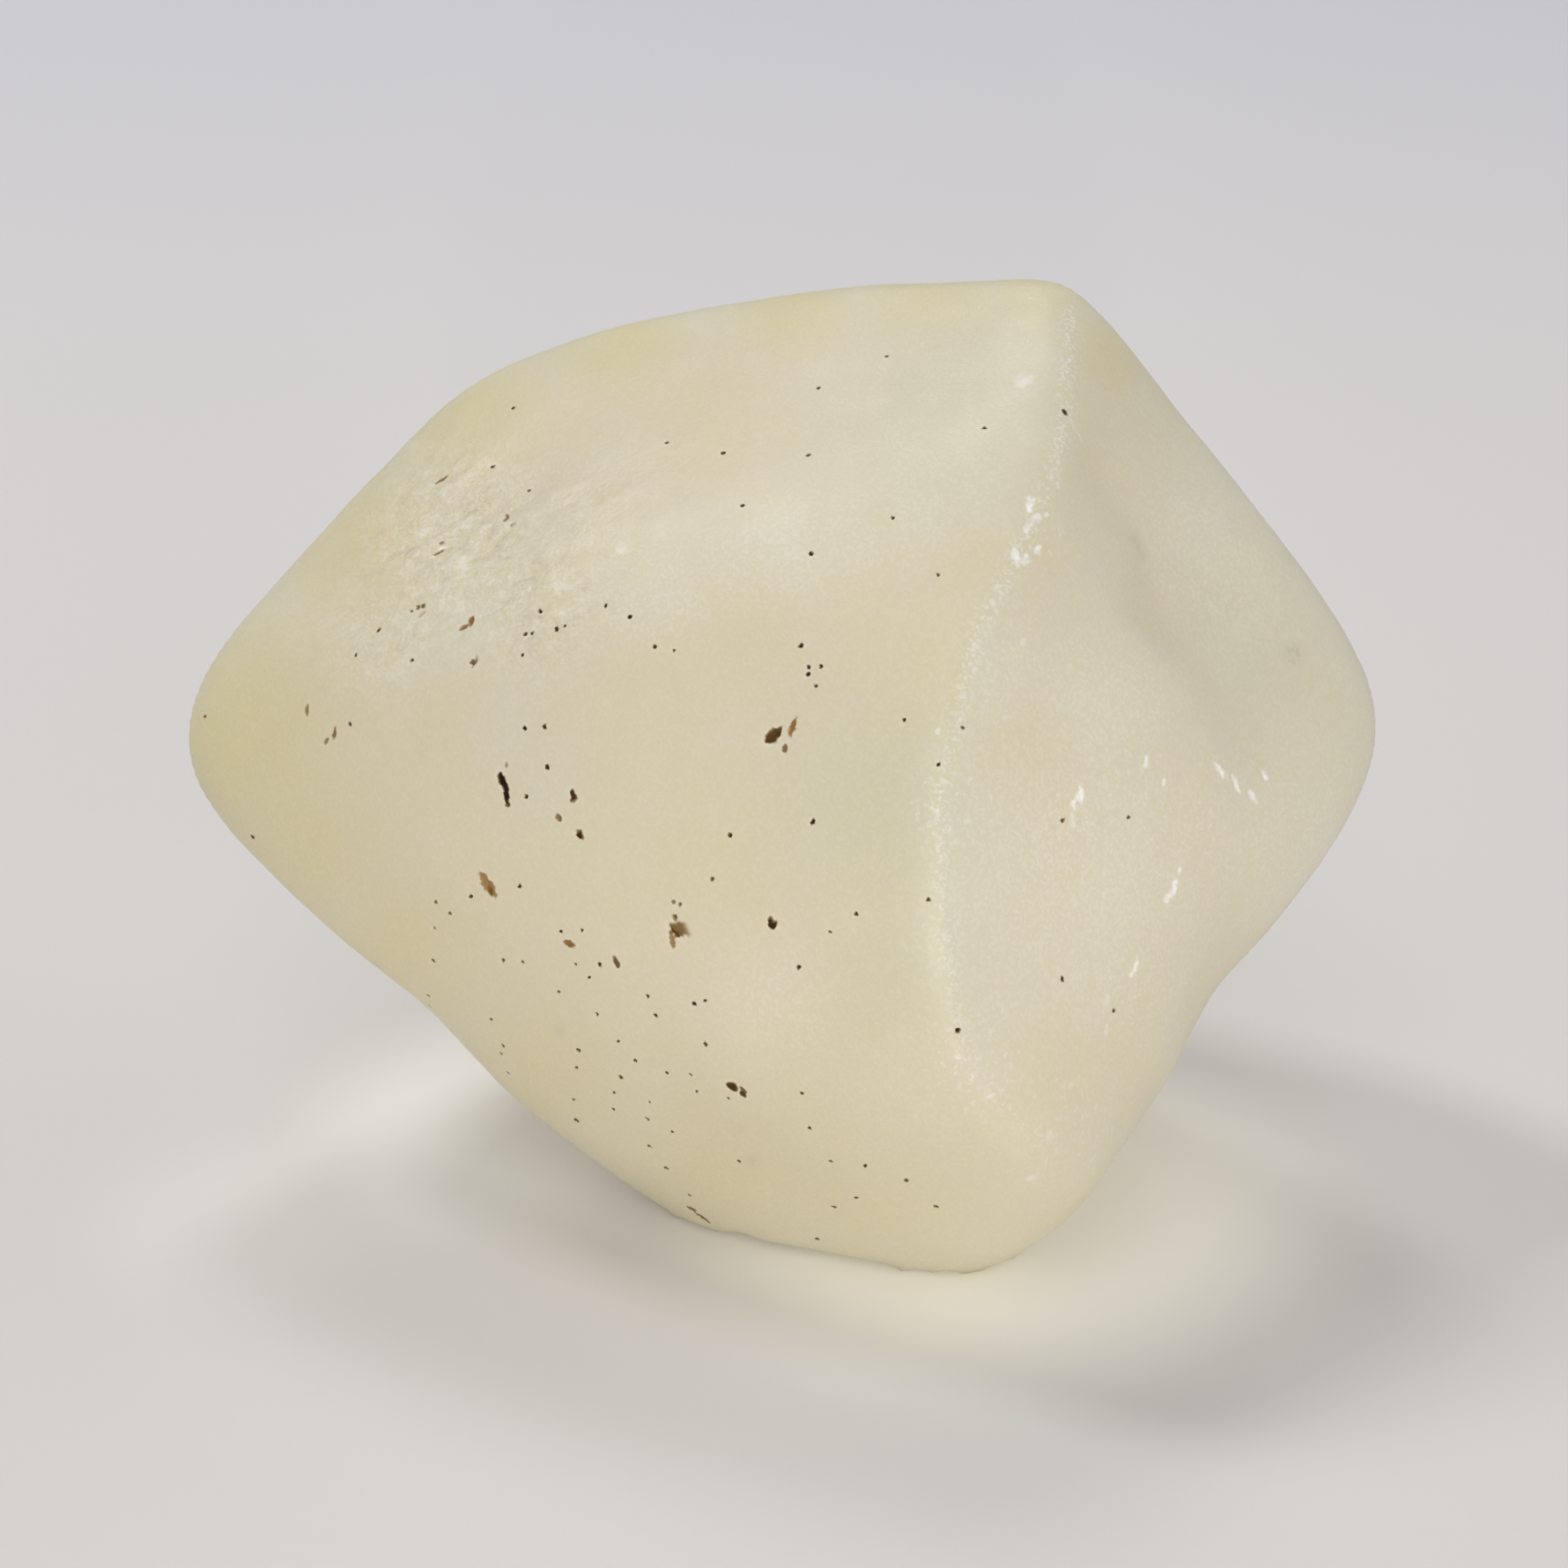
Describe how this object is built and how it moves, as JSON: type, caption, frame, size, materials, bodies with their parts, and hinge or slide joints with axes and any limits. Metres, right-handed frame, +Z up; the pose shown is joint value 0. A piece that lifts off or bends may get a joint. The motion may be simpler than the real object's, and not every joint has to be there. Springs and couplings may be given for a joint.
{
  "type": "raw libyan desert glass",
  "caption": "Wind-worn, frosted pale yellow natural glass stone with soft facets, a curved chipped ridge, a shallow dish and small dark pits, resting on its own small flat.",
  "frame": {"origin": "middle of the stone's box, at the height of the flat that it rests on", "axes": "+X from the left tip to the right tip, the longest extent; +Y from the chipped ridge side to the back; +Z up, away from the resting flat"},
  "size_m": [0.032, 0.0226, 0.0233],
  "materials": {
    "desert_glass": "frosted"
  },
  "bodies": {
    "root": {"desert_glass": "desert_glass"}
  },
  "joints": []
}
